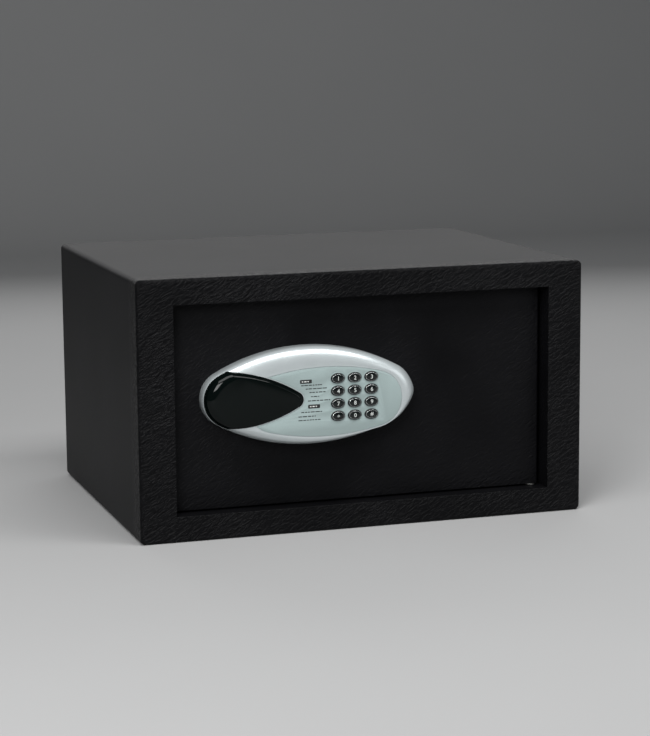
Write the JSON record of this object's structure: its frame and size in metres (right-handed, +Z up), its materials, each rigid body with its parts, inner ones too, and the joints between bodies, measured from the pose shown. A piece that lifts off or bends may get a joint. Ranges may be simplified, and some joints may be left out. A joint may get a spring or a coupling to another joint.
{
  "type": "in room safe",
  "caption": "Compact hotel room safe in black steel with a recessed hinged door, motor-driven locking bolts and a silver oval keypad panel with a smoked display lens.",
  "frame": {"origin": "centre of the outer box at the underside, on the surface the safe stands on", "axes": "+X to the right as the door is faced, +Y towards the back, +Z up; the door faces -Y"},
  "size_m": [0.43, 0.339, 0.24],
  "materials": {
    "black_coat": "black wrinkle powder coat",
    "frame_coat": "black powder coat",
    "cover_coat": "black powder coat",
    "zinc_steel": "zinc plated",
    "bolt_steel": "turned and nickel plated",
    "screw_steel": "plated screws",
    "nylon_white": "nylon",
    "felt_grey": "needle felt",
    "rubber_black": "moulded rubber",
    "silver_case": "satin silver lacquer",
    "silver_overlay": "satin silver film",
    "smoked_lens": "polished smoked acrylic",
    "key_black": "polished black keys",
    "display_black": "display window",
    "board_green": "solder mask",
    "component_black": "moulded components",
    "lock_chrome": "nickel plated die casting",
    "plug_brass": "machined brass",
    "gearbox_plastic": "acetal",
    "tray_black": "moulded plastic",
    "battery_wrap": "printed wrap, plain",
    "contact_nickel": "nickel plated spring steel",
    "cable_red": "insulated wire",
    "cable_grey": "insulated wire"
  },
  "bodies": {
    "cabinet": {"body_shell": "black_coat", "back_panel": "black_coat", "door_frame": "frame_coat", "door_stop": "frame_coat", "door_buffers": "rubber_black", "hinge_pins": "zinc_steel", "hinge_washers": "nylon_white", "floor_mat": "felt_grey"},
    "door": {"door_plate": "black_coat", "lower_hinge_bracket": "zinc_steel", "upper_hinge_bracket": "zinc_steel", "bolt_guides": "zinc_steel", "cover_posts": "zinc_steel", "mechanism_cover": "cover_coat", "cover_screws": "screw_steel", "cable_grommet": "rubber_black", "bezel": "silver_case", "bezel_screws": "screw_steel", "keypad_overlay": "silver_overlay", "display_module": "display_black", "keypad_mat": "rubber_black", "main_board": "board_green", "board_parts": "component_black", "buzzer": "component_black", "service_port": "rubber_black", "override_lock_body": "lock_chrome", "override_lock_nut": "zinc_steel", "gearbox_case": "gearbox_plastic", "gear_motor": "zinc_steel", "gearbox_screws": "screw_steel", "limit_switches": "component_black", "battery_tray": "tray_black", "batteries": "battery_wrap", "battery_contacts": "contact_nickel", "motor_cable": "cable_grey", "battery_cable": "cable_red"},
    "bolt_work": {"locking_bolts": "bolt_steel", "bolt_screws": "screw_steel", "bolt_carriage": "zinc_steel", "bolt_rack": "zinc_steel"},
    "pinion": {"drive_pinion": "plug_brass", "pinion_shaft": "bolt_steel"},
    "override": {"override_plug": "plug_brass", "override_cam": "zinc_steel", "cam_screw": "screw_steel"},
    "lens": {"display_lens": "smoked_lens"},
    "battery_cover": {"battery_lid": "tray_black"},
    "key_1": {"key_1": "key_black"},
    "key_2": {"key_2": "key_black"},
    "key_3": {"key_3": "key_black"},
    "key_4": {"key_4": "key_black"},
    "key_5": {"key_5": "key_black"},
    "key_6": {"key_6": "key_black"},
    "key_7": {"key_7": "key_black"},
    "key_8": {"key_8": "key_black"},
    "key_9": {"key_9": "key_black"},
    "key_star": {"key_star": "key_black"},
    "key_0": {"key_0": "key_black"},
    "key_hash": {"key_hash": "key_black"}
  },
  "joints": [
    {"name": "door_hinge", "type": "hinge", "parent": "cabinet", "child": "door", "pos_m": [0.172, -0.138, 0.12], "axis": [0, 0, 1], "range_deg": [0, 92]},
    {"name": "bolt_slide", "type": "slide", "parent": "door", "child": "bolt_work", "axis": [1, 0, 0], "range_m": [-0.018, 0]},
    {"name": "pinion_spin", "type": "hinge", "parent": "door", "child": "pinion", "pos_m": [-0.054, -0.1235, 0.1496], "axis": [0, 1, 0], "range_deg": [-150, 0]},
    {"name": "override_turn", "type": "hinge", "parent": "door", "child": "override", "pos_m": [-0.087, -0.1405, 0.1276], "axis": [0, -1, 0], "range_deg": [0, 90]},
    {"name": "lens_pull", "type": "slide", "parent": "door", "child": "lens", "axis": [0, -1, 0], "range_m": [0, 0.03]},
    {"name": "battery_lid_pull", "type": "slide", "parent": "door", "child": "battery_cover", "axis": [0, 1, 0], "range_m": [0, 0.02]},
    {"name": "key_1_press", "type": "slide", "parent": "door", "child": "key_1", "axis": [0, 1, 0], "range_m": [0, 0.0012], "stiffness_N_per_m": 400},
    {"name": "key_2_press", "type": "slide", "parent": "door", "child": "key_2", "axis": [0, 1, 0], "range_m": [0, 0.0012], "stiffness_N_per_m": 400},
    {"name": "key_3_press", "type": "slide", "parent": "door", "child": "key_3", "axis": [0, 1, 0], "range_m": [0, 0.0012], "stiffness_N_per_m": 400},
    {"name": "key_4_press", "type": "slide", "parent": "door", "child": "key_4", "axis": [0, 1, 0], "range_m": [0, 0.0012], "stiffness_N_per_m": 400},
    {"name": "key_5_press", "type": "slide", "parent": "door", "child": "key_5", "axis": [0, 1, 0], "range_m": [0, 0.0012], "stiffness_N_per_m": 400},
    {"name": "key_6_press", "type": "slide", "parent": "door", "child": "key_6", "axis": [0, 1, 0], "range_m": [0, 0.0012], "stiffness_N_per_m": 400},
    {"name": "key_7_press", "type": "slide", "parent": "door", "child": "key_7", "axis": [0, 1, 0], "range_m": [0, 0.0012], "stiffness_N_per_m": 400},
    {"name": "key_8_press", "type": "slide", "parent": "door", "child": "key_8", "axis": [0, 1, 0], "range_m": [0, 0.0012], "stiffness_N_per_m": 400},
    {"name": "key_9_press", "type": "slide", "parent": "door", "child": "key_9", "axis": [0, 1, 0], "range_m": [0, 0.0012], "stiffness_N_per_m": 400},
    {"name": "key_star_press", "type": "slide", "parent": "door", "child": "key_star", "axis": [0, 1, 0], "range_m": [0, 0.0012], "stiffness_N_per_m": 400},
    {"name": "key_0_press", "type": "slide", "parent": "door", "child": "key_0", "axis": [0, 1, 0], "range_m": [0, 0.0012], "stiffness_N_per_m": 400},
    {"name": "key_hash_press", "type": "slide", "parent": "door", "child": "key_hash", "axis": [0, 1, 0], "range_m": [0, 0.0012], "stiffness_N_per_m": 400}
  ],
  "couplings": [
    {"joint": "pinion_spin", "follows": "bolt_slide", "rad_per_m": 142.86}
  ]
}
